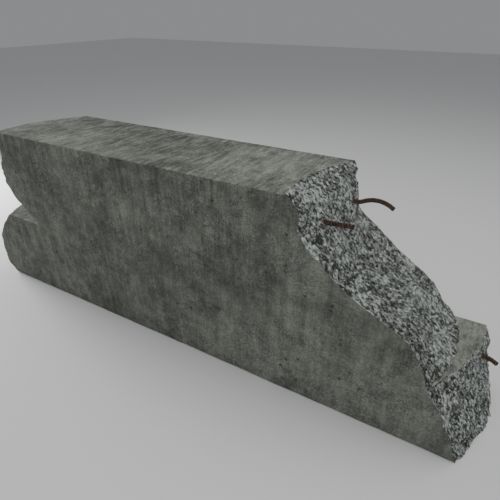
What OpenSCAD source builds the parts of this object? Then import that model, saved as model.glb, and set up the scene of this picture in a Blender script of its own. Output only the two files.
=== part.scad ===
// A length of reinforced concrete road barrier with both ends broken off.
// The barrier was cast in two lifts that meet at a cold joint, and the upper lift
// has broken back further than the lower one, so that a ledge of the joint shows.
// Inside is a cage of ribbed bars and links, tied with wire and held up on blocks.
//
// X runs along the barrier, Y from the front face to the back face, Z up.
// The origin is on the ground, under the middle of the barrier.

/* [Barrier] */
// Length of the lower lift between its broken ends, before their lumps
length = 2450; // [2000:10:3000]
// Height of the barrier
height = 810; // [670:5:1000]
// Thickness from the front face to the back face
thickness = 445; // [365:5:540]

/* [Cold joint] */
// Height of the joint between the lifts at the left end
joint_left_z = 375; // [310:5:450]
// Height of the joint at the right end
joint_right_z = 265; // [250:5:320]
// Share of the length, from the left, where the joint starts to fall
joint_fall_start = 0.2; // [0.16:0.01:0.3]
// Share of the length where it is level again
joint_fall_end = 0.7; // [0.6:0.01:0.72]

/* [Broken surface] */
// Depth of the broad waves in the broken surface
wave_depth = 15; // [5:1:22]
// Distance between the broad waves
wave_pitch = 105; // [80:5:160]
// Depth of the lumps left by the larger stones
lump_depth = 9; // [3:1:12]
// Distance between the lumps
lump_pitch = 38; // [30:1:50]
// Size of the facets
facet = 17; // [15:1:24]

/* [Reinforcement] */
// Diameter of the long bars
bar_d = 16; // [12:1:20]
// Diameter of the links round them
link_d = 12; // [8:1:14]
// Concrete over the links at the top and the two faces
cover = 90; // [70:1:110]
// Height of the bottom bars
bottom_bar_z = 95; // [90:1:115]
// Height of the bars under the ledge
ledge_bar_z = 206; // [175:1:220]
// Concrete film between a bar and the link that it is tied to
tie_gap = 4; // [4:0.5:6]
// Inside radius of a link's bends
link_bend_r = 20; // [16:1:28]
// Distance between links
link_pitch = 190; // [160:5:230]
// Depth at which the bars that don't show stop behind the broken surface
buried = 60; // [50:5:100]

/* [Tie wire] */
// Diameter of the tie wire
wire_d = 1.6; // [1.2:0.1:2.4]
// Gap between a wire ring and the steel inside it
wire_gap = 0.4; // [0.3:0.05:0.8]

/* [Cover blocks] */
// Side of a cover block, which stands on the mould and carries the cage
block_side = 60; // [50:1:70]
// Chamfer round the top of a block
block_chamfer = 8; // [3:1:12]

/* [Hidden] */
LONG_BARS = [
    "front_upper_bar", "back_upper_bar", "front_middle_bar", "back_middle_bar",
    "front_ledge_bar", "back_ledge_bar", "front_bottom_bar", "back_bottom_bar"
];
TALL_LINKS = [
    "tall_link_1", "tall_link_2", "tall_link_3", "tall_link_4", "tall_link_5", "tall_link_6", "tall_link_7"
];
LOW_LINKS = ["low_link_1", "low_link_2", "low_link_3", "low_link_4", "low_link_5"];
BLOCK_PAIRS = [
    "cover_blocks_1", "cover_blocks_2", "cover_blocks_3", "cover_blocks_4", "cover_blocks_5"
];

FRONT = -1;
BACK = 1;
LEFT = -1;
RIGHT = 1;

half_length = length / 2;
half_thickness = thickness / 2;
fall_start_x = -half_length + joint_fall_start * length;
fall_end_x = -half_length + joint_fall_end * length;

// The cage is set out from the cover: link, film, bar.
link_y = half_thickness - cover - link_d / 2;
bar_y = link_y - link_d / 2 - tie_gap - bar_d / 2;
link_to_bar = link_y - bar_y;
top_link_z = height - cover - link_d / 2;
upper_bar_z = top_link_z - link_to_bar;
bottom_link_z = bottom_bar_z - link_to_bar;
middle_bar_z = (upper_bar_z + ledge_bar_z) / 2;
ledge_link_z = ledge_bar_z + link_to_bar;

concrete = "#9a9c92";
old_concrete = "#8b8d83";
rust = "#6b4433";
mortar = "#a5a49b";
wire_black = "#3b3634";

$fn = 32;

// ---------------------------------------------------------------- broken ends

// Outline of each broken end, from the bottom of the lift to its top. A row holds the share
// of the lift's height, then how far the concrete stops short of the half length at the front
// face, at the back face, and how far it swells half way between them.
UPPER_RIGHT = [
    [0.00, 223, 195, 50], [0.09, 238, 245, 25], [0.19, 262, 285, 0], [0.28, 302, 338, 0],
    [0.35, 378, 404, 0], [0.41, 444, 452, 0], [0.47, 500, 492, 5], [0.54, 552, 536, 15],
    [0.62, 592, 594, 25], [0.68, 640, 628, 40], [0.78, 681, 636, 50], [0.90, 690, 643, 10],
    [0.98, 715, 652, -35], [1.00, 750, 667, -45]
];
LOWER_RIGHT = [
    [0.00, 74, 22, 44], [0.30, 97, 36, 30], [0.48, 132, 45, 12], [0.76, 164, 58, 10], [1.00, 223, 87, 40]
];
UPPER_LEFT = [
    [0.00, 381, 300, 60], [0.10, 331, 285, 50], [0.18, 290, 270, 45], [0.26, 243, 255, 30],
    [0.38, 209, 250, 20], [0.52, 200, 262, 20], [0.63, 204, 280, 25], [0.80, 233, 310, 30], [1.00, 233, 345, 62]
];
LOWER_LEFT = [
    [0.00, 75, 60, 30], [0.13, 8, 38, 25], [0.40, 2, 20, 10], [0.58, 4, 14, 5], [0.68, 28, 22, 5],
    [0.84, 83, 50, 25], [0.99, 152, 90, 60], [1.00, 160, 92, 62]
];

// A repeatable number from 0 to 1 for a point of a lattice.
function chance(i, j, seed) =
    let (s = sin(i * 127.13 + j * 311.71 + seed * 74.57) * 9187.53) s - floor(s);

// An eased step from 0 to 1, which makes the waves smooth.
function ease(t) = t * t * (3 - 2 * t);

// Smooth waves from -1 to 1: chances at the corners of a square lattice, eased between them.
function waves(y, z, pitch, seed) =
    let (i = floor(y / pitch), j = floor(z / pitch))
    let (u = ease(y / pitch - i), v = ease(z / pitch - j))
    let (low = (1 - u) * chance(i, j, seed) + u * chance(i + 1, j, seed))
    let (high = (1 - u) * chance(i, j + 1, seed) + u * chance(i + 1, j + 1, seed))
    2 * ((1 - v) * low + v * high) - 1;

// One column of an outline as pairs for lookup().
function column(outline, i) = [for (row = outline) [row[0], row[i]]];

// How far the broken surface stops short of the half length at a point of the section.
function inset(outline, y, share, seed) =
    let (t = y / thickness + 0.5)
    (1 - t) * lookup(share, column(outline, 1)) + t * lookup(share, column(outline, 2))
    - 4 * t * (1 - t) * lookup(share, column(outline, 3))
    + wave_depth * waves(y, share * height, wave_pitch, seed) / 2
    + lump_depth * waves(y, share * height, lump_pitch, seed + 9) / 2;

// X of a broken surface, on either side, for a lift from z_low to z_high.
function break_x(side, outline, z_low, z_high, y, z, seed) =
    side * (half_length - inset(outline, y, (z - z_low) / (z_high - z_low), seed));

function upper_break_x(side, y, z) =
    side == RIGHT ? break_x(RIGHT, UPPER_RIGHT, joint_right_z, height, y, z, 3)
                  : break_x(LEFT, UPPER_LEFT, joint_left_z, height, y, z, 21);

function lower_break_x(side, y, z) =
    side == RIGHT ? break_x(RIGHT, LOWER_RIGHT, 0, joint_right_z, y, z, 40)
                  : break_x(LEFT, LOWER_LEFT, 0, joint_left_z, y, z, 57);

function broken_end_x(side, y, z) =
    z > (side == RIGHT ? joint_right_z : joint_left_z) ? upper_break_x(side, y, z) : lower_break_x(side, y, z);

// What has broken off one end: a block whose near side is the broken surface, as a lattice of
// facets with its corners pushed about, and whose other sides are flat and clear of the barrier.
module broken_off(side, is_upper, z_low, z_high) {
    margin = 2 * facet;
    far_x = side * (half_length + 60);
    across = ceil((thickness + 2 * margin) / facet);
    up = ceil((z_high - z_low + 2 * margin) / facet);
    push = 0.3 * facet;
    corners = [
        for (j = [0:up]) for (i = [0:across])
            let (inside = i > 0 && i < across && j > 0 && j < up ? 1 : 0)
            let (y = -half_thickness - margin + (thickness + 2 * margin) * i / across
                 + inside * push * (2 * chance(i, j, side + 5) - 1))
            let (z = z_low - margin + (z_high - z_low + 2 * margin) * j / up
                 + inside * push * (2 * chance(i, j, side + 6) - 1))
            let (bump = lump_depth / 3 * (2 * chance(i, j, side + 7) - 1))
            [(is_upper ? upper_break_x(side, y, z) : lower_break_x(side, y, z)) + bump, y, z]
    ];
    row = across + 1;
    n = len(corners);
    far = [for (p = [corners[0], corners[across], corners[n - 1], corners[n - row]]) [far_x, p[1], p[2]]];
    near_faces = [
        for (j = [0:up - 1]) for (i = [0:across - 1])
            let (a = j * row + i)
            each (i + j) % 2 == 0 ? [[a, a + row, a + row + 1], [a, a + row + 1, a + 1]]
                                  : [[a, a + row, a + 1], [a + 1, a + row, a + row + 1]]
    ];
    side_faces = [
        concat([for (i = [0:across]) i], [n + 1, n]),
        concat([for (i = [across:-1:0]) n - row + i], [n + 3, n + 2]),
        concat([for (j = [up:-1:0]) j * row], [n, n + 3]),
        concat([for (j = [0:up]) j * row + across], [n + 2, n + 1]),
        [n, n + 1, n + 2, n + 3]
    ];
    faces = concat(near_faces, side_faces);
    facing_out = side == RIGHT ? [for (f = faces) [for (k = [len(f) - 1:-1:0]) f[k]]] : faces;
    polyhedron(concat(corners, far), facing_out, convexity = 6);
}

// ---------------------------------------------------------------- concrete

// A lift before it broke: its side outline carried from the front face to the back face.
module whole_lift(outline) {
    translate([0, half_thickness, 0])
        rotate([90, 0, 0])
            linear_extrude(height = thickness) polygon(outline);
}

module lower_lift() color(old_concrete) difference() {
    whole_lift([
        [-half_length - 30, 0], [half_length + 30, 0], [half_length + 30, joint_right_z],
        [fall_end_x, joint_right_z], [fall_start_x, joint_left_z], [-half_length - 30, joint_left_z]
    ]);
    broken_off(LEFT, false, 0, joint_left_z);
    broken_off(RIGHT, false, 0, joint_right_z);
    cage();
    for (i = [0:len(BLOCK_PAIRS) - 1]) block_pair(block_link_x(i));
}

module upper_lift() color(concrete) difference() {
    whole_lift([
        [-half_length, joint_left_z], [fall_start_x, joint_left_z], [fall_end_x, joint_right_z],
        [half_length, joint_right_z], [half_length, height], [-half_length, height]
    ]);
    broken_off(LEFT, true, joint_left_z, height);
    broken_off(RIGHT, true, joint_right_z, height);
    cage();
}

// ---------------------------------------------------------------- long bars

// The bends of a bare bar end, each [turn, radius], with the turn upwards in degrees.
FRONT_UPPER_BENDS = [[7, 740]];
BACK_UPPER_BENDS = [[30, 40], [-68, 100]];
BACK_LEDGE_BENDS = [[-38, 80]];
LEFT_UPPER_BENDS = [[-30, 90]];
LEFT_LEDGE_BENDS = [[26, 80]];

// Each bar's face and height, and for its left end and then its right end: how far the
// straight part stands out of the broken surface, where less than nothing is inside the
// concrete, and the bends after it.
BARS = [
    [FRONT, upper_bar_z, 14, LEFT_UPPER_BENDS, 8, FRONT_UPPER_BENDS],
    [BACK, upper_bar_z, -buried, [], 6, BACK_UPPER_BENDS],
    [FRONT, middle_bar_z, -buried, [], -buried, []],
    [BACK, middle_bar_z, 12, [], -buried, []],
    [FRONT, ledge_bar_z, -buried, [], -buried, []],
    [BACK, ledge_bar_z, 10, LEFT_LEDGE_BENDS, 10, BACK_LEDGE_BENDS],
    [FRONT, bottom_bar_z, 12, [], -buried, []],
    [BACK, bottom_bar_z, -buried, [], -buried, []]
];

// A chain of bends from the origin along +X.
module bent_end(bends, i = 0) {
    if (i < len(bends)) {
        turn = bends[i][0];
        r = bends[i][1];
        sweep = abs(turn);
        mirror([0, 0, turn > 0 ? 0 : 1]) arc(r, sweep);
        translate([r * sin(sweep), 0, sign(turn) * r * (1 - cos(sweep))])
            rotate([0, -turn, 0])
                bent_end(bends, i + 1);
    }
}

// A stretch of a ring of bar, from the origin along +X and bending upwards.
module arc(r, sweep) {
    multmatrix([[0, 1, 0, 0], [0, 0, -1, 0], [-1, 0, 0, r], [0, 0, 0, 1]])
        rotate_extrude(angle = sweep, $fn = 360) translate([r, 0]) circle(d = bar_d);
}

// X at which a bar's straight part ends, to a whole millimetre.
function straight_end_x(side, bar) =
    round(broken_end_x(side, bar[0] * bar_y, bar[1]) + side * (side == LEFT ? bar[2] : bar[4]));

module long_bar(bar) {
    left_x = straight_end_x(LEFT, bar);
    right_x = straight_end_x(RIGHT, bar);
    translate([0, bar[0] * bar_y, bar[1]]) {
        translate([left_x, 0, 0]) rotate([0, 90, 0]) cylinder(d = bar_d, h = right_x - left_x);
        translate([right_x, 0, 0]) bent_end(bar[5]);
        translate([left_x, 0, 0]) rotate([0, 0, 180]) bent_end(bar[3]);
    }
}

// ---------------------------------------------------------------- links

// The tall links stand where the upper lift keeps its full height. The low ones stand beyond
// them, the first few at the left.
LOW_AT_LEFT = 2;
last_tall_x = broken_end_x(RIGHT, FRONT * link_y, top_link_z) - cover;
function tall_link_x(i) = last_tall_x - (len(TALL_LINKS) - 1 - i) * link_pitch;
function low_link_x(i) = i < LOW_AT_LEFT ? tall_link_x(i - LOW_AT_LEFT) : tall_link_x(len(TALL_LINKS) - LOW_AT_LEFT + i);

// A closed link round the bars: four legs and four bends.
module link(x, z_low, z_high) {
    r = link_bend_r + link_d / 2;
    translate([x, 0, 0]) {
        for (s = [FRONT, BACK])
            translate([0, s * link_y, z_low + r]) cylinder(d = link_d, h = z_high - z_low - 2 * r);
        for (z = [z_low, z_high])
            translate([0, link_y - r, z]) rotate([90, 0, 0]) cylinder(d = link_d, h = 2 * (link_y - r));
        for (s = [FRONT, BACK]) for (e = [0, 1])
            mirror([0, s == BACK ? 0 : 1, 0])
                translate([0, link_y - r, e == 1 ? z_high - r : z_low + r])
                    mirror([0, 0, 1 - e])
                        rotate([90, 0, 90])
                            rotate_extrude(angle = 90) translate([r, 0]) circle(d = link_d);
    }
}

module tall_link(i) link(tall_link_x(i), bottom_link_z, top_link_z);
module low_link(i) link(low_link_x(i), bottom_link_z, ledge_link_z);

// All the steel that the concrete was cast round.
module cage() {
    for (bar = BARS) long_bar(bar);
    for (i = [0:len(TALL_LINKS) - 1]) tall_link(i);
    for (i = [0:len(LOW_LINKS) - 1]) low_link(i);
    tie_wires();
}

// ---------------------------------------------------------------- cover blocks

// Every other link stands on a pair of blocks, from the low one next to the tall ones.
function block_link_x(i) = tall_link_x(2 * i - 1);

// Two mortar blocks under a link's bottom leg, which lies half sunk in their tops.
module block_pair(x) {
    for (s = [FRONT, BACK])
        translate([x, s * (link_y - block_side), 0]) difference() {
            linear_extrude(height = bottom_link_z) square(block_side, center = true);
            for (turn = [0, 90, 180, 270])
                rotate([0, 0, turn])
                    translate([block_side / 2, 0, bottom_link_z])
                        rotate([0, 45, 0])
                            cube([block_chamfer * sqrt(2), 2 * block_side, block_chamfer * sqrt(2)], center = true);
            translate([0, 0, bottom_link_z])
                rotate([90, 0, 0])
                    cylinder(d = link_d, h = 2 * block_side, center = true);
        }
}

// ---------------------------------------------------------------- tie wires

// The middle of a ring that goes round both a bar and the leg that it crosses, from the bar.
ring_middle = (link_d + tie_gap) / 2;

// How far a rod's slanting section reaches from the middle of the ring, offset from the rod.
function reach(offset, d) =
    max([for (t = [0:5:180]) norm([offset + d / 2 * cos(t), d / sqrt(2) * sin(t)])]);

ring_r = max(reach(ring_middle, bar_d), reach(link_to_bar - ring_middle, link_d)) + wire_gap + wire_d / 2;

// A ring of wire round a bar and the upright leg that it crosses, set slantwise.
module tie(x, s, z) {
    translate([x, s * (bar_y + ring_middle), z])
        rotate([0, 45, 0])
            rotate_extrude() translate([ring_r, 0]) circle(d = wire_d, $fn = 16);
}

module tie_wires() {
    for (i = [0:len(TALL_LINKS) - 1])
        for (s = [FRONT, BACK]) for (z = [middle_bar_z, ledge_bar_z]) tie(tall_link_x(i), s, z);
}

// ---------------------------------------------------------------- nodes

lower_lift();
upper_lift();
for (i = [0:len(LONG_BARS) - 1])
    color(rust) long_bar(BARS[i]);
for (i = [0:len(TALL_LINKS) - 1])
    color(rust) tall_link(i);
for (i = [0:len(LOW_LINKS) - 1])
    color(rust) low_link(i);
for (i = [0:len(BLOCK_PAIRS) - 1])
    color(mortar) block_pair(block_link_x(i));
color(wire_black) tie_wires();
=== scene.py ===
# %% [markdown]
# # A broken length of road barrier
#
# The barrier is a straight-sided block of reinforced concrete, poured in two lifts, with both
# ends broken off. The solids of the design are loaded first and never moved. They say where
# everything is, so every size below that can be read from them is read from them.

# %% The frame
import math

import bpy
import numpy as np
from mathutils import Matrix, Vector
from mathutils.bvhtree import BVHTree


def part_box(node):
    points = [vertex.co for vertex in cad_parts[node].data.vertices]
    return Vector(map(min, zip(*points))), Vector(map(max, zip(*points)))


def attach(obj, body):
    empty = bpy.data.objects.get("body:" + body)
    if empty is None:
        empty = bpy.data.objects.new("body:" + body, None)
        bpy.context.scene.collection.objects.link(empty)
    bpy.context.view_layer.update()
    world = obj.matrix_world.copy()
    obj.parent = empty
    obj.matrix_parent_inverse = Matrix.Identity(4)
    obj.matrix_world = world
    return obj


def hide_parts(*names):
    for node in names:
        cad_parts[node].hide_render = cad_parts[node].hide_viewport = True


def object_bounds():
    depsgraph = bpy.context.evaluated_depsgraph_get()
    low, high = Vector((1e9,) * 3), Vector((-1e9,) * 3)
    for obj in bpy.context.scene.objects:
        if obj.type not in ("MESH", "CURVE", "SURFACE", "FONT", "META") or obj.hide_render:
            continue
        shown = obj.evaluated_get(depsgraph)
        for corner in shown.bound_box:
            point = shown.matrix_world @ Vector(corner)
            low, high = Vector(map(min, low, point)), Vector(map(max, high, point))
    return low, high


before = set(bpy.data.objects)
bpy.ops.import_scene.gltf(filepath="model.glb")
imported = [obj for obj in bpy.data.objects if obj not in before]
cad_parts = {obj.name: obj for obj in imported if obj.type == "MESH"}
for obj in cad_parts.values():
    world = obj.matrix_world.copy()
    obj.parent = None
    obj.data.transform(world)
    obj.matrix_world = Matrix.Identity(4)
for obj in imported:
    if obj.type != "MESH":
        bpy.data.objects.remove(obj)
cad_low, cad_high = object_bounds()
MM = 0.001
LEFT = -1
RIGHT = 1
print("solids:", len(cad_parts), "overall", [round(v, 3) for v in cad_high - cad_low])

# %% [markdown]
# ## Camera
#
# The camera stands to the right of the barrier and above it, and looks down along its front,
# so that the nearer, steeper break fills the right of the view. A lens of about 31 mm is a
# field of view of 60 degrees, which makes the far end shrink quickly.

# %% Camera
CAMERA_PLACE = (1.0278, -1.3379, 1.3156)
CAMERA_TURN = 30.70
CAMERA_TILT = 29.50
LENS = 31.18

camera = bpy.data.objects.new("camera", bpy.data.cameras.new("camera"))
camera.data.lens = LENS
camera.location = CAMERA_PLACE
camera.rotation_euler = (math.radians(90 - CAMERA_TILT), 0, math.radians(CAMERA_TURN))
bpy.context.scene.collection.objects.link(camera)
bpy.context.scene.camera = camera
print("camera at", CAMERA_PLACE, "with a lens of", LENS, "mm")

# %% [markdown]
# ## Noise on arrays
#
# Broken concrete has no outline that could be drawn by hand. A Displace modifier could roughen
# it, but then nothing else in this lesson could ask where the surface is. So its shape comes
# from chance that any function can ask for: a number for each cell of a lattice, always the
# same for the same cell. Smooth waves are those numbers eased from cell to cell. Stones are one
# point scattered in each cell, and how far away the nearest of them is. Each function takes an
# array of points and returns an array.

# %% Chance
CELL_FACTORS = (73856093, 19349663, 83492791)
SEED_FACTOR = 668265263
FIRST_MIX = 1274126177
SECOND_MIX = 1103515245
LOW_BITS = 0xFFFFFFFF
KEPT_BITS = 24


def chance(cells, seed):
    """A number from 0 to 1 for each cell: its three whole numbers are multiplied by large odd
    numbers and mixed together in 32 bits, and the upper 24 of those are kept."""
    by_x, by_y, by_z = CELL_FACTORS
    mixed = cells[..., 0] * by_x ^ cells[..., 1] * by_y ^ cells[..., 2] * by_z
    mixed = (mixed ^ seed * SEED_FACTOR) & LOW_BITS
    mixed = (mixed ^ mixed >> 15) * FIRST_MIX & LOW_BITS
    mixed = (mixed ^ mixed >> 13) * SECOND_MIX & LOW_BITS
    return (mixed >> 32 - KEPT_BITS) / 2**KEPT_BITS


# %% Waves
def waves(points, size, seed):
    """Smooth noise from -1 to 1. Each point takes the chances of the eight corners of its
    cell, each weighted by how near it is along X, Y and Z, eased with 3t^2 - 2t^3."""
    place = points / size
    cell = np.floor(place).astype(np.int64)
    t = place - cell
    t = t * t * (3 - 2 * t)
    total = 0
    for corner in np.ndindex(2, 2, 2):
        weight = np.prod(np.where(corner, t, 1 - t), axis=-1)
        total = total + weight * chance(cell + corner, seed)
    return 2 * total - 1


def ripples(points, size, octaves, seed):
    """Waves of that size, plus waves half as long and half as high, and so on."""
    return sum(waves(points, size / 2**k, seed + k) / 2**k for k in range(octaves))


def ease(value, low, high):
    """0 below low, 1 above high, and between them the smooth step 3t^2 - 2t^3."""
    t = np.clip((value - low) / (high - low), 0, 1)
    return t * t * (3 - 2 * t)


# %% Stones
def stones(points, size, seed):
    """Of the points scattered one to a cell, the nearest: how far away it is, in cells, the
    step from it to here, and a number of its own. The 27 cells nearest each point are tried."""
    place = points / size
    cell = np.floor(place).astype(np.int64)
    nearest = np.full(points.shape[:-1], np.inf)
    away = np.zeros(points.shape)
    own = np.zeros(points.shape[:-1])
    for step in np.ndindex(3, 3, 3):
        near = cell + step - 1
        spot = near + np.stack([chance(near, seed + k) for k in range(3)], axis=-1)
        offset = place - spot
        distance = np.linalg.norm(offset, axis=-1)
        closer = distance < nearest
        nearest = np.where(closer, distance, nearest)
        away = np.where(closer[..., None], offset, away)
        own = np.where(closer, chance(near, seed + 3), own)
    return nearest, away, own


# %% [markdown]
# ## Reading the breaks from the solids
#
# The design already has each broken surface as coarse facets. Their mesh could be subdivided,
# but its triangles are of all sizes. Rays that come in along X find where it lies instead, on
# an even table of heights and places across the barrier. A ray can run down the hole that a
# bar leaves, so a sample far from its neighbours takes their middle value.

# %% Rays
SAMPLE = 10 * MM
FACE_MARGIN = 1 * MM


def solid_points(node):
    """The corners of a solid's mesh as an array with a row for each."""
    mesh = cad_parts[node].data
    flat = np.empty(len(mesh.vertices) * 3)
    mesh.vertices.foreach_get("co", flat)
    return flat.reshape(-1, 3)


def solid_tree(node):
    """A solid's mesh, sorted so that a ray finds quickly what it meets."""
    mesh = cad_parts[node].data
    return BVHTree.FromPolygons([v.co for v in mesh.vertices], [p.vertices for p in mesh.polygons])


def samples(low, high):
    """Places from just inside one face to just inside the other, about a sample apart."""
    return np.linspace(low + FACE_MARGIN, high - FACE_MARGIN, round((high - low) / SAMPLE))


def outside_x(side):
    """A place along X that is well past that end of everything."""
    return side * 2 * cad_high.x


def probe(tree, side, across, up):
    """Where a ray along X first meets the solid: a table with a row for each height."""
    start = outside_x(side)
    hits = [tree.ray_cast((start, y, z), (-side, 0, 0))[0] for z in up for y in across]
    return np.array([hit.x if hit else np.nan for hit in hits]).reshape(len(up), len(across))


# %% Samples without holes
HOLE_DEPTH = 45 * MM
HOLE_REACH = 2


def windows(table, reach):
    """For each entry of a table, the square of entries round it."""
    wide = np.pad(table, reach, mode="edge")
    square = np.lib.stride_tricks.sliding_window_view(wide, (2 * reach + 1, 2 * reach + 1))
    return square.reshape(*table.shape, -1)


def without_holes(table):
    """The table with each entry that is lost, or far from the middle value of the entries
    round it, replaced by that value."""
    middle = np.nanmedian(windows(table, HOLE_REACH), axis=-1)
    return np.where(np.abs(table - middle) < HOLE_DEPTH, table, middle)


# %% [markdown]
# ## The cross-section
#
# The sides of the barrier were cast against flat moulds and are nearly true planes. What makes
# them look like concrete is the arris where two of them meet: worn round by a few millimetres,
# with a bite out of it here and there. A bevel would round every arris evenly. So a point's
# place in the section is worked out as if the section were a sharp rectangle, and its corners
# are then pressed round by a radius that changes along the barrier.

# %% Sizes of the section
NEARLY = 0.2 * MM
GROUND_GAP = 0.6 * MM

lower_points = solid_points("lower_lift")
upper_points = solid_points("upper_lift")
half_thickness = cad_high.y
height = upper_points[:, 2].max()
joint_left_z = lower_points[:, 2].max()
joint_right_z = upper_points[:, 2].min()
fall_start_x = lower_points[lower_points[:, 2] > joint_left_z - NEARLY, 0].max()
fall_end_x = upper_points[upper_points[:, 2] < joint_right_z + NEARLY, 0].min()
print("joint at", round(joint_left_z, 3), "up to x =", round(fall_start_x, 3))
print("and at", round(joint_right_z, 3), "from x =", round(fall_end_x, 3))


def joint_z(x):
    """Height of the joint between the lifts: level, then falling evenly, then level again."""
    return np.interp(x, [fall_start_x, fall_end_x], [joint_left_z, joint_right_z])


def ground_z(x):
    """The underside, a hair above the ground, so that the cover blocks show in it."""
    return np.full(np.shape(x), GROUND_GAP)


def top_z(x):
    """The top, which is level."""
    return np.full(np.shape(x), height)


# %% Rounding the section
def pressed_round(y, z, half_y, half_z, radius):
    """Presses the corners of a rectangle round. y and z are measured from the middle of the
    section, and the corner squares of side `radius` are mapped to quarter discs: each of the
    two distances a and b from the disc's middle shrinks by sqrt(1 - b^2 / 2r^2)."""
    a = np.maximum(np.abs(y) - (half_y - radius), 0)
    b = np.maximum(np.abs(z) - (half_z - radius), 0)
    shrink_y = a * (1 - np.sqrt(1 - b * b / (2 * radius * radius)))
    shrink_z = b * (1 - np.sqrt(1 - a * a / (2 * radius * radius)))
    return y - np.sign(y) * shrink_y, z - np.sign(z) * shrink_z


# %% Wear of an arris
WEAR_LENGTH = 60 * MM
WEAR_MEAN = 1.2
WEAR_SWING = 0.8
CHIP_LENGTH = 110 * MM
CHIP_STARTS = 0.62
CHIP_IS_FULL = 1.1
ARRIS_APART = 5.0


def worn_radius(x, y, z, sound, chip, seed):
    """Radius of an arris along the barrier: a sound radius that comes and goes, plus a chip
    wherever slow waves rise above a threshold. The four arrises lie so far apart in the noise
    that each has waves of its own."""
    line = np.stack([x, np.sign(y) * ARRIS_APART, np.sign(z) * ARRIS_APART], axis=-1)
    wear = sound * (WEAR_MEAN + WEAR_SWING * ripples(line, WEAR_LENGTH, 3, seed))
    bite = ease(ripples(line, CHIP_LENGTH, 2, seed + 5), CHIP_STARTS, CHIP_IS_FULL)
    return wear + chip * bite


# %% [markdown]
# ## A lift as one closed skin
#
# Each lift is one closed mesh. A box could be cut with a rough surface, but a cut leaves long
# thin triangles at its edge, just where the light shows them. So its two breaks are grids with
# a row for each height and a column for each place across, and rows follow the slope of the
# break, so that they are as far apart on the steep stretches as on the flat ones. The edge of
# such a grid is a ring round the section, and the cast sides are that ring carried from one
# break to the other.

# %% Spacing
def spread(count, first=0.3, growth=1.25):
    """Shares from 0 to 1 that crowd towards both ends: steps grow from `first` of a full step
    by `growth` each time."""
    from_end = np.minimum(np.arange(count - 1), np.arange(count - 1)[::-1])
    steps = np.minimum(first * growth**from_end, 1)
    return np.concatenate([[0], np.cumsum(steps)]) / steps.sum()


def slope_heights(table, up, low, high, count):
    """Heights that are evenly crowded along the middle line of a break and not along Z."""
    middle = table.mean(axis=1)
    run = np.concatenate([[0], np.cumsum(np.hypot(np.diff(middle), np.diff(up)))])
    heights = np.interp(spread(count) * run[-1], run, up)
    heights[0] = low
    heights[-1] = high
    return heights


def finer(table, up, across, heights, columns):
    """The table read between its entries, along the columns and then up the rows."""
    wide = np.array([np.interp(columns, across, line) for line in table])
    return np.array([np.interp(heights, up, line) for line in wide.T]).T


# %% Relief of one size of stone
STONE_REACH = 0.62
LEFT_STANDING = 0.66
TORN_OUT = 0.3
SOCKET = -0.9
FLUSH = 0.12
DOME_SHARE = 0.22
LEAN_SHARE = 0.28


def stone_relief(points, size, seed):
    """Height of the stones in a broken face, as a share of their size. A dome of sqrt(1 - d^2)
    stands out where a stone is left, sinks in where one was torn out and is nearly flush where
    one was split, and every stone's own facet leans its own way."""
    distance, away, own = stones(points, size, seed)
    dome = np.sqrt(np.clip(1 - (distance / STONE_REACH) ** 2, 0, 1))
    sign = np.where(own > LEFT_STANDING, 1.0, np.where(own < TORN_OUT, SOCKET, FLUSH))
    lean = away[..., 2] * (own - 0.5) + away[..., 1] * (0.5 - np.abs(2 * own - 1))
    return DOME_SHARE * dome * sign + LEAN_SHARE * lean


# %% Relief of a break
BIG_STONE = 19 * MM
SMALL_STONE = 9 * MM
TORN_HEIGHT = 2.6 * MM
TORN_LENGTH = 30 * MM


def break_relief(points, seed):
    """How far a broken face stands out of its coarse shape: large stones, small stones, and
    the torn mortar between them."""
    large = BIG_STONE * stone_relief(points, BIG_STONE, seed)
    small = SMALL_STONE * stone_relief(points, SMALL_STONE, seed + 10)
    torn = TORN_HEIGHT * ripples(points, TORN_LENGTH, 4, seed + 20)
    return large + small + torn


# %% One break
EDGE_CALM = 9 * MM
FACET_BLUR = 0.4
SPALL_DEPTH = 7 * MM
SPALL_REACH = 15 * MM


def break_grid(node, side, low, high, rows, columns, bar_places, seed):
    """One break as a grid of points, with the distance of each from the edge of the face. The
    coarse facets are blurred a little, concrete is spalled away round each bar by a depth of
    exp(-(distance / reach)^2), and the relief pushes each point along the normal. At the edge
    it is pushed only along X, so that the edge stays in the planes of the cast sides."""
    across = samples(-half_thickness, half_thickness)
    up = samples(low, high)
    table = without_holes(probe(solid_tree(node), side, across, up))
    heights = slope_heights(table, up, low, high, rows)
    blurred = windows(table, 1).mean(axis=-1) * FACET_BLUR + table * (1 - FACET_BLUR)
    x = finer(blurred, up, across, heights, columns)
    y, z = np.meshgrid(columns, heights)
    for bar_y, bar_z in bar_places:
        far = np.hypot(y - bar_y, z - bar_z)
        x = x - side * SPALL_DEPTH * np.exp(-((far / SPALL_REACH) ** 2))
    points = np.stack([x, y, z], axis=-1)
    normal = np.cross(np.gradient(points, axis=1), np.gradient(points, axis=0)) * side
    normal /= np.linalg.norm(normal, axis=-1, keepdims=True)
    from_edge = np.minimum(half_thickness - np.abs(y), np.minimum(z - low, high - z))
    calm = ease(from_edge, 0, EDGE_CALM)
    push = normal * break_relief(points, seed)[..., None]
    push[..., 1:] *= calm[..., None]
    return points + push, from_edge


# %% The cast sides
MOULD_WAVE = 0.7 * MM
MOULD_LENGTH = 240 * MM
MOULD_STRETCH = (1, 0.2, 1)


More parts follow.
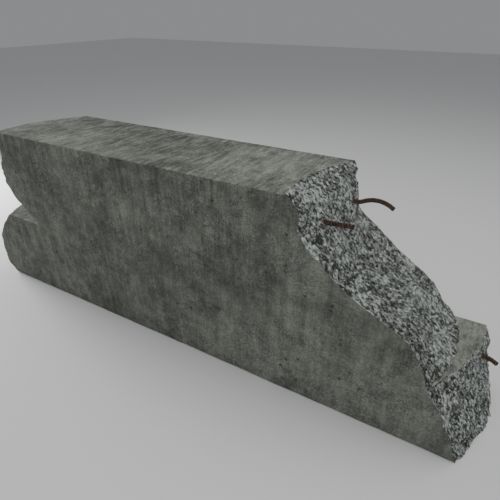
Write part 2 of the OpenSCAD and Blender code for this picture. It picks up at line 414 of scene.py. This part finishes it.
def cast_sides(left, right, ring, bottom, top, stations):
    """The ring round one break carried to the other, as points and how far each is from the
    nearer break. x and the share of the height go evenly from one end's to the other's."""
    left_points, _, left_share = left
    right_points, _, right_share = right
    t = spread(stations, first=0.25, growth=1.06)[1:-1, None]
    left_x = left_points[ring, 0]
    right_x = right_points[ring, 0]
    x = (1 - t) * left_x + t * right_x
    y = np.broadcast_to(left_points[ring, 1], x.shape)
    share = (1 - t) * left_share[ring] + t * right_share[ring]
    z = bottom(x) + share * (top(x) - bottom(x))
    to_break = np.minimum(x - left_x, right_x - x)
    return np.stack([x, y, z], axis=-1).reshape(-1, 3), to_break.ravel()


def weathered(points, bottom, top, arris, seed):
    """The points with the arrises pressed round and the sides in slow waves, which come from
    a mould that wasn't quite flat."""
    x, y, z = points.T
    middle_z = (bottom(x) + top(x)) / 2
    half_z = (top(x) - bottom(x)) / 2
    up = z - middle_z
    round_y, round_up = pressed_round(y, up, half_thickness, half_z, arris(x, y, up))
    dents = MOULD_WAVE * ripples(points * MOULD_STRETCH, MOULD_LENGTH, 3, seed)
    return np.stack([x, round_y * (1 + dents / half_thickness), middle_z + round_up], axis=-1)


# %% Faces of a skin
def quads(a, b, c, d):
    """Faces whose corners are taken from four arrays of point numbers."""
    return np.stack([a, b, c, d], axis=-1).reshape(-1, 4)


def ring_of(rows, columns):
    """Numbers of the points round the edge of a grid: across the bottom, up the back, back
    across the top and down the front."""
    grid = np.arange(rows * columns).reshape(rows, columns)
    return np.concatenate([grid[0, :-1], grid[:-1, -1], grid[-1, :0:-1], grid[:0:-1, 0]])


def skin_faces(rows, columns, stations, ring):
    """Faces of the left break, the right break and the sides, all pointing outwards. The
    points are numbered in that order."""
    count = rows * columns
    grid = np.arange(count).reshape(rows, columns)
    a, b, c, d = grid[:-1, :-1], grid[:-1, 1:], grid[1:, 1:], grid[1:, :-1]
    between = 2 * count + np.arange((stations - 2) * len(ring)).reshape(-1, len(ring))
    hoops = np.concatenate([ring[None], between, ring[None] + count])
    onward = np.roll(hoops, -1, axis=1)
    return np.concatenate([
        quads(a, d, c, b),
        quads(a, b, c, d) + count,
        quads(hoops[:-1], onward[:-1], onward[1:], hoops[1:])
    ])


# %% One lift
def lift_skin(node, bottom, top, rows, columns, stations, bar_places, arris, seed):
    """The closed skin of a lift: points, faces, and for each point how far inside a break it
    is, which is less than nothing on a cast side."""
    y_places = (2 * spread(columns) - 1) * half_thickness
    ends = []
    for side in (LEFT, RIGHT):
        low = float(bottom(outside_x(side)))
        high = float(top(outside_x(side)))
        grid, inside = break_grid(
            node, side, low, high, rows, y_places, bar_places[side], seed + side
        )
        share = (grid[..., 2] - low) / (high - low)
        ends.append((grid.reshape(-1, 3), inside.ravel(), share.ravel()))
    left, right = ends
    ring = ring_of(rows, columns)
    side_points, to_break = cast_sides(left, right, ring, bottom, top, stations)
    points = np.concatenate([left[0], right[0], side_points])
    inside = np.concatenate([left[1], right[1], -to_break])
    points = weathered(points, bottom, top, arris, seed + 40)
    return points, skin_faces(rows, columns, stations, ring).tolist(), inside


# %% [markdown]
# ## Meshes
#
# A skin becomes an object with its place in its mesh. How far each point lies inside a
# break goes along as an attribute of the points. A second material on some of the faces would
# end in a hard line, but with an attribute one material can tell cast concrete from broken
# concrete, and can let the border between them wander by a few millimetres.

# %% Making an object
def piece(name, points, faces, **attributes):
    """An object whose mesh has these points and faces, smooth shaded, and these attributes."""
    mesh = bpy.data.meshes.new(name)
    mesh.from_pydata(points.tolist(), [], faces)
    mesh.polygons.foreach_set("use_smooth", np.ones(len(mesh.polygons), bool))
    for key, values in attributes.items():
        attribute = mesh.attributes.new(key, "FLOAT", "POINT")
        attribute.data.foreach_set("value", values.astype(np.float32))
    mesh.update()
    made = bpy.data.objects.new(name, mesh)
    bpy.context.scene.collection.objects.link(made)
    print(name, "has", sum(len(p.vertices) - 2 for p in mesh.polygons), "triangles")
    return made


# %% [markdown]
# ## The bars
#
# The bars are ribbed, so that concrete can grip them: two ribs run along a bar, and short
# crescent ribs slant across each side between them. A bump in the material could suggest them,
# but a bare end is seen against the light, so its ribs are real. A ring of points is carried
# along the middle line of each bar, and its radius follows the ribs. The middle line is found
# with rays again: half way between what they meet from above and from below.

# %% Middle line of a bar
CORE_RADIUS = 7.6 * MM
RING_STEP = 1.6 * MM
LINE_STEP = 3 * MM
TIP_MARGIN = 11 * MM
TIP_LOOK = 4


def middle_height(tree, x, y):
    """Half way between what a ray from above and a ray from below meet."""
    over = tree.ray_cast((x, y, 2 * height), (0, 0, -1))[0].z
    under = tree.ray_cast((x, y, -height), (0, 0, 1))[0].z
    return (over + under) / 2


def run_along(line):
    """How far along a line each of its points is."""
    return np.concatenate([[0], np.cumsum(np.linalg.norm(np.diff(line, axis=0), axis=1))])


def middle_line(node):
    """Points along the middle of a bar, evenly spaced. Rays miss the slanting tips, so both
    ends are run straight on, until a disc of the core's radius there reaches the box's edge."""
    tree = solid_tree(node)
    low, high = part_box(node)
    y = (low.y + high.y) / 2
    xs = np.arange(low.x + TIP_MARGIN, high.x - TIP_MARGIN, LINE_STEP)
    line = np.stack([xs, [middle_height(tree, x, y) for x in xs]], axis=-1)
    ends = []
    for edge, tip, before in (
        (low.x, line[0], line[TIP_LOOK]),
        (high.x, line[-1], line[-1 - TIP_LOOK])
    ):
        onward = (tip - before) / np.linalg.norm(tip - before)
        further = (abs(edge - tip[0]) - CORE_RADIUS * abs(onward[1])) / abs(onward[0])
        ends.append(tip + onward * further)
    line = np.concatenate([[ends[0]], line, [ends[1]]])
    run = run_along(line)
    s = np.arange(0, run[-1], RING_STEP)
    x = np.interp(s, run, line[:, 0])
    z = np.interp(s, run, line[:, 1])
    return s, np.stack([x, np.full_like(x, y), z], axis=-1)


# %% Ribs
BAR_SIDES = 20
RIB_HEIGHT = 1.3 * MM
RIB_PITCH = 9.5 * MM
RIB_SLANT = 0.3
RIB_STARTS = 0.1
RIB_IS_FULL = 0.85
LONG_RIB_WIDTH = 0.22
LONG_RIB_SHARE = 0.8
RUST_DEPTH = 0.35 * MM
RUST_LENGTH = 9 * MM


def rib_share(s, a):
    """How far up a rib a point is, from 0 to 1. With s along the bar and a round it, the
    crescents are where cos(2 pi (s / pitch + slant cos a)) is high, with the slant the other
    way on the other side, and they fade with the root of |sin a|. The two long ribs are narrow
    humps at a = 0 and a = pi."""
    turn = s / RIB_PITCH + RIB_SLANT * np.cos(a) * np.sign(np.sin(a))
    crescent = ease(np.cos(2 * math.pi * turn), RIB_STARTS, RIB_IS_FULL)
    crescent = crescent * np.sqrt(np.abs(np.sin(a)))
    long_rib = np.exp(-((np.sin(a) / LONG_RIB_WIDTH) ** 2)) * LONG_RIB_SHARE
    return np.maximum(crescent, long_rib)


def ribbed_bar(node, seed):
    """A bar as rings round its middle line: points, faces, and how far up a rib each point is.
    A point is the middle line + radius (cos a beside + sin a above), and the radius grows with
    the ribs. Rust eats fine ripples into it all."""
    s, line = middle_line(node)
    ahead = np.gradient(line, axis=0)
    ahead /= np.linalg.norm(ahead, axis=1, keepdims=True)
    beside = np.array([0.0, 1.0, 0.0])
    above = np.cross(ahead, beside)
    angles = np.arange(BAR_SIDES) * 2 * math.pi / BAR_SIDES
    along, around = np.meshgrid(s, angles, indexing="ij")
    rib = rib_share(along, around)
    radius = CORE_RADIUS + RIB_HEIGHT * rib
    spokes = np.cos(around)[..., None] * beside + np.sin(around)[..., None] * above[:, None, :]
    points = line[:, None, :] + radius[..., None] * spokes
    eaten = RUST_DEPTH * ripples(points, RUST_LENGTH, 3, seed)
    points = (points + eaten[..., None] * spokes).reshape(-1, 3)
    ring = np.arange(len(s) * BAR_SIDES).reshape(len(s), BAR_SIDES)
    after = np.roll(ring, -1, axis=1)
    walls = quads(ring[:-1], after[:-1], after[1:], ring[1:]).tolist()
    return points, walls + [ring[0, ::-1].tolist(), ring[-1].tolist()], rib.ravel()


# %% Bars with bare ends
BARE_BARS = [
    "front_upper_bar",
    "back_upper_bar",
    "back_middle_bar",
    "back_ledge_bar",
    "front_bottom_bar"
]
BAR_SEED = 200

bars = {}
for number, node in enumerate(BARE_BARS):
    points, faces, rib = ribbed_bar(node, BAR_SEED + 10 * number)
    bars[node] = piece(node + "_ribbed", points, faces, rib=rib)

# %% [markdown]
# ## Building the two lifts
#
# The arris of the joint is nearly sharp where one lift sits on the other, so that no groove
# shows in the barrier's sides, and it is worn where a ledge lies open. The other arrises are
# worn and chipped all along. Round each bar that comes out of a break, the concrete is spalled
# away, so the skins need to know where the bars lie.

# %% Arrises
SOUND_RADIUS = 4.5 * MM
UPPER_CHIP = 13 * MM
LOWER_CHIP = 15 * MM
JOINT_RADIUS = 0.35 * MM
LEDGE_WEAR = 0.6
LEFT_LEDGE_STARTS = 0.86
LEFT_LEDGE_IS_OPEN = 0.93
RIGHT_LEDGE_STARTS = 90 * MM
RIGHT_LEDGE_IS_OPEN = 30 * MM

right_foot_x = upper_points[:, 0].max()


def upper_arris(x, y, up):
    """Worn and chipped at the top, nearly sharp at the joint."""
    worn = worn_radius(x, y, up, SOUND_RADIUS, UPPER_CHIP, 60)
    return np.where(up > 0, worn, JOINT_RADIUS)


def lower_arris(x, y, up):
    """Worn at the ground, and at the ledges, from a little before the foot of the upper lift.
    The right ledge is measured back from that foot, and the left one from x = 0."""
    worn = worn_radius(x, y, up, SOUND_RADIUS, LOWER_CHIP, 90)
    right = ease(x, right_foot_x - RIGHT_LEDGE_STARTS, right_foot_x - RIGHT_LEDGE_IS_OPEN)
    left = ease(-x, LEFT_LEDGE_STARTS, LEFT_LEDGE_IS_OPEN)
    ledge = JOINT_RADIUS + (worn - JOINT_RADIUS) * np.clip(right + left, 0, 1) * LEDGE_WEAR
    return np.where(up > 0, ledge, worn)


# %% Where the bars come out
def bar_axis(node):
    """Where a bar lies in the section, half way along it."""
    low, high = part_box(node)
    y = (low.y + high.y) / 2
    return y, middle_height(solid_tree(node), (low.x + high.x) / 2, y)


upper_bars = {
    LEFT: [bar_axis("front_upper_bar"), bar_axis("back_middle_bar")],
    RIGHT: [bar_axis("front_upper_bar"), bar_axis("back_upper_bar")]
}
lower_bars = {
    LEFT: [bar_axis("back_ledge_bar"), bar_axis("front_bottom_bar")],
    RIGHT: [bar_axis("back_ledge_bar")]
}
print("front upper bar lies at y, z =", [round(v, 3) for v in upper_bars[RIGHT][0]])

# %% Upper lift
points, faces, inside = lift_skin(
    "upper_lift", joint_z, top_z,
    rows=150, columns=90, stations=142, bar_places=upper_bars, arris=upper_arris, seed=11
)
upper = piece("upper_lift_concrete", points, faces, inside=inside)

# %% Lower lift
points, faces, inside = lift_skin(
    "lower_lift", ground_z, joint_z,
    rows=74, columns=90, stations=240, bar_places=lower_bars, arris=lower_arris, seed=31
)
lower = piece("lower_lift_concrete", points, faces, inside=inside)

# %% [markdown]
# ## Writing materials as sums
#
# A material is worked out as arithmetic on patterns. Its nodes could be made and joined one by
# one, but then the sum is hard to see. One class wraps a value on its way between shader nodes,
# so that `1 - mask` or `a * b` adds the Math nodes, and one method adds any other node: first
# its settings, then its inputs.

# %% A value between nodes
class Flow:
    """A value on its way from one shader node to the next. A sum with it adds a Math node."""

    def __init__(self, recipe, socket):
        self.recipe = recipe
        self.socket = socket

    def __add__(self, other):
        return self.recipe.math("ADD", self, other)

    def __sub__(self, other):
        return self.recipe.math("SUBTRACT", self, other)

    def __rsub__(self, other):
        return self.recipe.math("SUBTRACT", other, self)

    def __mul__(self, other):
        return self.recipe.math("MULTIPLY", self, other)

    __radd__ = __add__
    __rmul__ = __mul__


# %% A material being made
class Recipe:
    """A material being made. Every pattern reads the place on the object, in metres."""

    def __init__(self, name):
        self.material = bpy.data.materials.new(name)
        self.material.use_nodes = True
        self.tree = self.material.node_tree
        self.tree.nodes.clear()
        self.place = self.add("TexCoord", output="Object")

    def add(self, kind, inputs=None, output=0, **settings):
        """A node of that kind: its settings, then the values or flows of its inputs."""
        node = self.tree.nodes.new("ShaderNode" + kind)
        for key, value in settings.items():
            setattr(node, key, value)
        for key, value in (inputs or {}).items():
            if isinstance(value, Flow):
                self.tree.links.new(value.socket, node.inputs[key])
            else:
                node.inputs[key].default_value = value
        return Flow(self, node.outputs[output])

    def math(self, operation, a, b):
        """One step of a sum on two flows, or on a flow and a number."""
        return self.add("Math", {0: a, 1: b}, operation=operation)

    def stretched(self, x, y, z):
        """The place, stretched so that a pattern on it is that many times finer each way."""
        return self.add("VectorMath", {0: self.place, 1: (x, y, z)}, operation="MULTIPLY")

    def noise(self, scale, detail=4.0, rough=0.6, place=None, shift=0.0):
        """Noise from 0 to 1. Each shift is another pattern."""
        place = place or self.place
        moved = self.add("VectorMath", {0: place, 1: (shift, -shift, shift)}, operation="ADD")
        inputs = {"Vector": moved, "Scale": scale, "Detail": detail, "Roughness": rough}
        return self.add("TexNoise", inputs, output="Fac")

    def cells(self, scale, output="Distance", place=None, **settings):
        """A pattern of cells round scattered points: how far a point is, or its own colour."""
        inputs = {"Vector": place or self.place, "Scale": scale}
        return self.add("TexVoronoi", inputs, output=output, **settings)

    def band(self, value, low, high):
        """0 where the value is under low, 1 over high, smooth between; low may be the larger."""
        inputs = {"Value": value, "From Min": low, "From Max": high}
        return self.add("MapRange", inputs, interpolation_type="SMOOTHSTEP")

    def blend(self, factor, a, b, **settings):
        """Colour a where the factor is 0 and colour b where it is 1."""
        return self.add("Mix", {0: factor, 6: a, 7: b}, output=2, data_type="RGBA", **settings)

    def shade(self, colour, factor, low, high):
        """The colour times a grey that goes from low to high with the factor."""
        grey = self.blend(factor, (low, low, low, 1), (high, high, high, 1))
        return self.blend(1.0, colour, grey, blend_type="MULTIPLY")

    def bump(self, height, distance, normal=None):
        """A normal bent as if the surface stood out by height times distance."""
        inputs = {"Height": height, "Distance": distance, "Strength": 1.0}
        if normal:
            inputs["Normal"] = normal
        return self.add("Bump", inputs)

    def finish(self, inputs):
        """The material, with its one shader joined to its output."""
        surface = self.add("BsdfPrincipled", inputs)
        output = self.tree.nodes.new("ShaderNodeOutputMaterial")
        self.tree.links.new(surface.socket, output.inputs["Surface"])
        return self.material


# %% [markdown]
# ## Concrete
#
# One material serves both lifts. Where the sides were cast it is a grey, slightly green skin:
# clouds, streaks that run down the sides and across the top, grime under the top arris, dark
# blotches, fine crazing, and the small pits that air bubbles leave. The top has a lighter copy
# of the same colours, which paints in the light that falls on it from above. Where it is broken,
# light and dark stones lie in paler mortar, each with an edge of its own. A painted picture could
# show all that, but it would have to be unwrapped onto the rough breaks. Patterns worked out
# from the place in space fit them without a seam.

# %% Colours of the cast skin
SKIN_DARK = (0.085, 0.094, 0.078, 1)
SKIN_LIGHT = (0.222, 0.236, 0.204, 1)
# The top's colours paint in light from above: on the whole they are lighter than the sides'.
LIT_TOP_DARK = (0.075, 0.081, 0.068, 1)
LIT_TOP_LIGHT = (0.3, 0.314, 0.272, 1)
GRIME = (0.035, 0.036, 0.031, 1)


def cast_colour(r, upward):
    """Colour of the cast sides, with the grain and streaks that also roughen them."""
    clouds = r.noise(3.2, detail=5, rough=0.62)
    mottle = r.noise(17, detail=6, rough=0.74, shift=9)
    streaks = r.noise(1.0, 5, 0.65, place=r.stretched(34, 34, 3.4))
    fine_streaks = r.noise(1.0, 4, 0.7, place=r.stretched(120, 120, 14), shift=3)
    pattern = clouds * 0.34 + mottle * 0.34 + streaks * 0.22 + fine_streaks * 0.12
    sides = r.blend(r.band(pattern, 0.4, 0.645), SKIN_DARK, SKIN_LIGHT)
    broom = r.noise(1.0, 5, 0.75, place=r.stretched(70, 11, 70), shift=5)
    top_pattern = clouds * 0.3 + broom * 0.45 + mottle * 0.25
    # Painted light: the top takes a lighter copy of the concrete colours, as if lit from above;
    # the broom marks on it are real.
    lit_tops = r.blend(r.band(top_pattern, 0.38, 0.62), LIT_TOP_DARK, LIT_TOP_LIGHT)
    colour = r.blend(upward, sides, lit_tops)
    speckle = r.noise(250, detail=4, rough=0.85)
    colour = r.shade(colour, r.band(speckle, 0.33, 0.67), 0.6, 1.38)
    return crazed(r, colour), speckle, streaks


def crazed(r, colour):
    """The colour with fine dark lines here and there, where a noise passes through its middle
    value and its distance from that, squared, is nearly nothing."""
    crazing = r.noise(60, detail=4, rough=0.7, shift=41) - 0.5
    lines = r.band(crazing * crazing, 0.001, 0.0) * r.band(r.noise(8, 3, shift=33), 0.44, 0.58)
    return r.shade(colour, lines, 1.0, 0.5)


# %% Grime and pits
def grime_mask(r, upward):
    """Grime that runs down from the top arris, blotches lower down, and a little grime near
    the ground. Little of it lies on top."""
    z = r.add("SeparateXYZ", {0: r.place}, output="Z")
    under_top = r.band(z, height - 200 * MM, height - 5 * MM)
    runs = r.band(r.noise(1.0, 4, 0.6, place=r.stretched(20, 20, 1.4), shift=7), 0.5, 0.72)
    blotches = r.band(r.noise(5.5, detail=4, rough=0.65, shift=21), 0.45, 0.6)
    blotches = blotches * r.band(r.noise(45, detail=6, rough=0.85, shift=4), 0.5, 0.6)
    near_ground = r.band(z, 90 * MM, 0.0)
    near_ground = near_ground * r.band(r.noise(14, detail=4, rough=0.6, shift=2), 0.35, 0.65)
    return (runs * under_top * 0.6 + blotches * 0.62 + near_ground * 0.2) * (1 - upward * 0.75)


def air_holes(r):
    """Pits of two sizes: 1 in the middle of a few cells of a slightly warped lattice."""
    warp = r.add("TexNoise", {"Vector": r.place, "Scale": 90.0}, output="Color")
    warp = r.add("VectorMath", {0: warp, 1: (0.5, 0.5, 0.5)}, operation="SUBTRACT")
    warp = r.add("VectorMath", {0: warp, "Scale": 16 * MM}, operation="SCALE")
    place = r.add("VectorMath", {0: r.place, 1: warp}, operation="ADD")
    small = r.band(r.cells(75, place=place), 0.2, 0.08)
    small = small * r.band(r.noise(16, detail=2, shift=12), 0.52, 0.6)
    large = r.band(r.cells(20, place=place), 0.16, 0.07)
    large = large * r.band(r.noise(5, detail=2, shift=31), 0.5, 0.56)
    return small + large


# %% Colours of a break
STONE_DARK = (0.035, 0.038, 0.034, 1)
STONE_MIDDLE = (0.19, 0.2, 0.185, 1)
STONE_LIGHT = (0.56, 0.605, 0.57, 1)
SLOPE = math.radians(48)
DRAG = (1.0, 1.0, 0.45)
STONE_SCALE = 74


def broken_colour(r):
    """Colour and height of the breaks: stones of two sizes, each of its own grey, in mortar
    that was dragged a little along the slope as it tore."""
    slope = r.add("VectorRotate", {"Vector": r.place, "Angle": SLOPE}, rotation_type="Y_AXIS")
    dragged = r.add("VectorMath", {0: slope, 1: DRAG}, operation="MULTIPLY")
    tone = r.add("SeparateColor", {0: r.cells(STONE_SCALE, "Color")}, output="Red")
    small_tone = r.add("SeparateColor", {0: r.cells(210, "Color", dragged)}, output="Green")
    grain = r.noise(150, detail=6, rough=0.85, place=dragged, shift=6)
    patch = r.noise(8, detail=4, rough=0.65, shift=17)
    mix = tone * 0.2 + small_tone * 0.24 + grain * 0.95 + patch * 0.42
    colour = r.blend(r.band(mix, 0.85, 1.13), STONE_MIDDLE, STONE_LIGHT)
    colour = r.blend(r.band(mix, 0.96, 0.75), colour, STONE_DARK)
    crack = r.band(r.cells(STONE_SCALE, feature="DISTANCE_TO_EDGE"), 0.0, 0.06)
    colour = r.shade(colour, crack, 0.5, 1.0)
    return colour, grain * 0.6 + small_tone * 0.4 + crack * 0.3


# %% Concrete material
SKIN_BUMP = 1.1 * MM
BREAK_BUMP = 3.2 * MM
RAGGED = 9 * MM


def concrete(name):
    """Cast skin where the attribute "inside" is below nothing, and a break where it is above,
    with a border that a noise makes ragged. Next to it the arris is rubbed paler in places."""
    r = Recipe(name)
    facing = r.add("NewGeometry", output="Normal")
    upward = r.band(r.add("SeparateXYZ", {0: facing}, output="Z"), 0.55, 0.9)
    inside = r.add("Attribute", output="Fac", attribute_name="inside")
    ragged = (r.noise(90, detail=3, rough=0.6, shift=1) - 0.5) * RAGGED
    broken = r.band(inside + ragged, -0.8 * MM, 1.2 * MM)

    skin, speckle, streaks = cast_colour(r, upward)
    skin = r.blend(grime_mask(r, upward), skin, GRIME)
    holes = air_holes(r)
    skin = r.blend(holes * 0.8, skin, GRIME)
    rubble, rubble_height = broken_colour(r)
    rubbed = r.band(inside, -14 * MM, -1 * MM) * r.band(r.noise(60, 3, shift=8), 0.45, 0.6)
    skin = r.shade(skin, rubbed, 1.0, 1.25)

    skin_height = speckle * 0.25 + streaks * 0.3 - holes * 1.6
    skin_bump = r.bump(skin_height * (1 - broken), SKIN_BUMP)
    normal = r.bump(rubble_height * broken, BREAK_BUMP, skin_bump)
    return r.finish({
        "Base Color": r.blend(broken, skin, rubble),
        "Roughness": 0.93,
        "Specular IOR Level": 0.25,
        "Normal": normal
    })


concrete_finish = concrete("cast_and_broken_concrete")
print("concrete takes", len(concrete_finish.node_tree.nodes), "nodes")

# %% [markdown]
# ## Steel and mortar
#
# Bars are tied and cast in bare, so all the steel is rusty: dark brown scale with a paler
# orange bloom. The bloom could be a noise alone, but on a real bar it follows the ribs, and the
# mesh already tells how far up a rib each point is. The links and ties have no ribs to follow.
# They stay inside the concrete and show only when the lifts are taken away. The cover blocks
# are fine sandy mortar.

# %% Steel
BAR_DARK = (0.022, 0.013, 0.009, 1)
BAR_BLOOM = (0.17, 0.098, 0.062, 1)
LINK_DARK = (0.045, 0.032, 0.026, 1)
LINK_BLOOM = (0.17, 0.095, 0.06, 1)
WIRE_DARK = (0.02, 0.02, 0.02, 1)
WIRE_BLOOM = (0.07, 0.06, 0.055, 1)


def rusty_steel(name, dark, bloom_colour, scale, crests=0.0):
    """Rust: scale of the dark colour with bloom on it, dull all over. Where the mesh tells how
    far up a rib a point is, the bloom is on the crests and the dark is left between them."""
    r = Recipe(name)
    rib = r.add("Attribute", output="Fac", attribute_name="rib")
    bloom = r.band(r.noise(scale, 5, 0.7) + (rib - 0.5) * crests, 0.4, 0.68)
    grit = r.noise(scale * 6, 3, 0.7, shift=2)
    colour = r.shade(r.blend(bloom, dark, bloom_colour), grit, 0.5, 1.4)
    return r.finish({
        "Base Color": colour,
        "Roughness": r.band(grit, -1.5, 1.2),
        "Metallic": 0.1,
        "Normal": r.bump(grit, 0.5 * MM)
    })


bar_rust = rusty_steel("bar_rust", BAR_DARK, BAR_BLOOM, scale=90, crests=0.34)
link_rust = rusty_steel("link_rust", LINK_DARK, LINK_BLOOM, scale=60)
black_wire = rusty_steel("black_wire", WIRE_DARK, WIRE_BLOOM, scale=300)
print("steel finishes:", bar_rust.name, link_rust.name, black_wire.name)

# %% Mortar
MORTAR_DARK = (0.24, 0.235, 0.21, 1)
MORTAR_LIGHT = (0.42, 0.41, 0.37, 1)


def sand_mortar(name):
    """Fine mortar: even, sandy, paler than the concrete round it."""
    r = Recipe(name)
    sand = r.noise(700, detail=3, rough=0.8)
    clouds = r.noise(30, detail=4, rough=0.6, shift=5)
    colour = r.blend(clouds, MORTAR_DARK, MORTAR_LIGHT)
    return r.finish({
        "Base Color": r.shade(colour, sand, 0.7, 1.25),
        "Roughness": 0.95,
        "Normal": r.bump(sand, 0.6 * MM)
    })


block_mortar = sand_mortar("block_mortar")
print("mortar finish:", block_mortar.name)

# %% [markdown]
# ## Dressing the pieces
#
# The new skins stand for their solids. The links, blocks, ties and buried bars keep their
# solids, which already have the right shape, and only take a finish.

# %% Dressing
skins = [
    (upper, "upper_lift", "upper_concrete"),
    (lower, "lower_lift", "lower_concrete")
]
for made, node, slot in skins:
    made.data.materials.append(concrete_finish)
    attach(made, "root")
    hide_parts(node)

for node, made in bars.items():
    made.data.materials.append(bar_rust)
    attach(made, "root")
    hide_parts(node)

NODE_FINISHES = {"bar": bar_rust, "link": link_rust, "blocks": block_mortar, "wires": black_wire}
for node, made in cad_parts.items():
    for word, finish in NODE_FINISHES.items():
        if word in node.split("_"):
            made.data.materials.clear()
            made.data.materials.append(finish)
print("new meshes:", len(skins) + len(bars), "for", len(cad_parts), "solids")

# %% [markdown]
# ## Studio
#
# A pale floor, an even sky and three soft lamps: one overhead, one in front for the long face,
# and a small one at the far end, which reaches the ledge under the overhanging break.

# %% Floor
FLOOR_SIZE = 30.0
FLOOR_GREY = (0.78, 0.78, 0.77, 1)

half_floor = FLOOR_SIZE / 2
floor_corners = [
    (-half_floor, -half_floor, 0),
    (half_floor, -half_floor, 0),
    (half_floor, half_floor, 0),
    (-half_floor, half_floor, 0)
]
floor_mesh = bpy.data.meshes.new("floor")
floor_mesh.from_pydata(floor_corners, [], [(0, 1, 2, 3)])
floor = bpy.data.objects.new("floor", floor_mesh)
bpy.context.scene.collection.objects.link(floor)
floor_paint = Recipe("floor_paint")
floor_mesh.materials.append(floor_paint.finish({"Base Color": FLOOR_GREY, "Roughness": 0.9}))
print("floor is", FLOOR_SIZE, "m wide")


# %% Lamps and sky
def soft_lamp(name, place, target, size, power):
    """A square lamp that faces its target."""
    lamp = bpy.data.objects.new(name, bpy.data.lights.new(name, "AREA"))
    lamp.data.size = size
    lamp.data.energy = power
    lamp.location = place
    lamp.rotation_euler = (Vector(target) - Vector(place)).to_track_quat("-Z", "Y").to_euler()
    bpy.context.scene.collection.objects.link(lamp)
    print("lamp", name, "of", power, "W")


soft_lamp("overhead", place=(1.0, 0.6, 4.2), target=(0, 0, 0.4), size=3.5, power=76)
soft_lamp("front_fill", place=(2.2, -4.0, 2.6), target=(0.2, 0, 0.4), size=3.0, power=64)
soft_lamp("far_end", place=(-3.2, 0.1, 0.85), target=(-1.1, 0, 0.4), size=0.8, power=80)

sky = bpy.data.worlds.new("sky")
sky.use_nodes = True
background = sky.node_tree.nodes["Background"]
background.inputs["Color"].default_value = (0.95, 0.97, 1, 1)
background.inputs["Strength"].default_value = 0.28
bpy.context.scene.world = sky
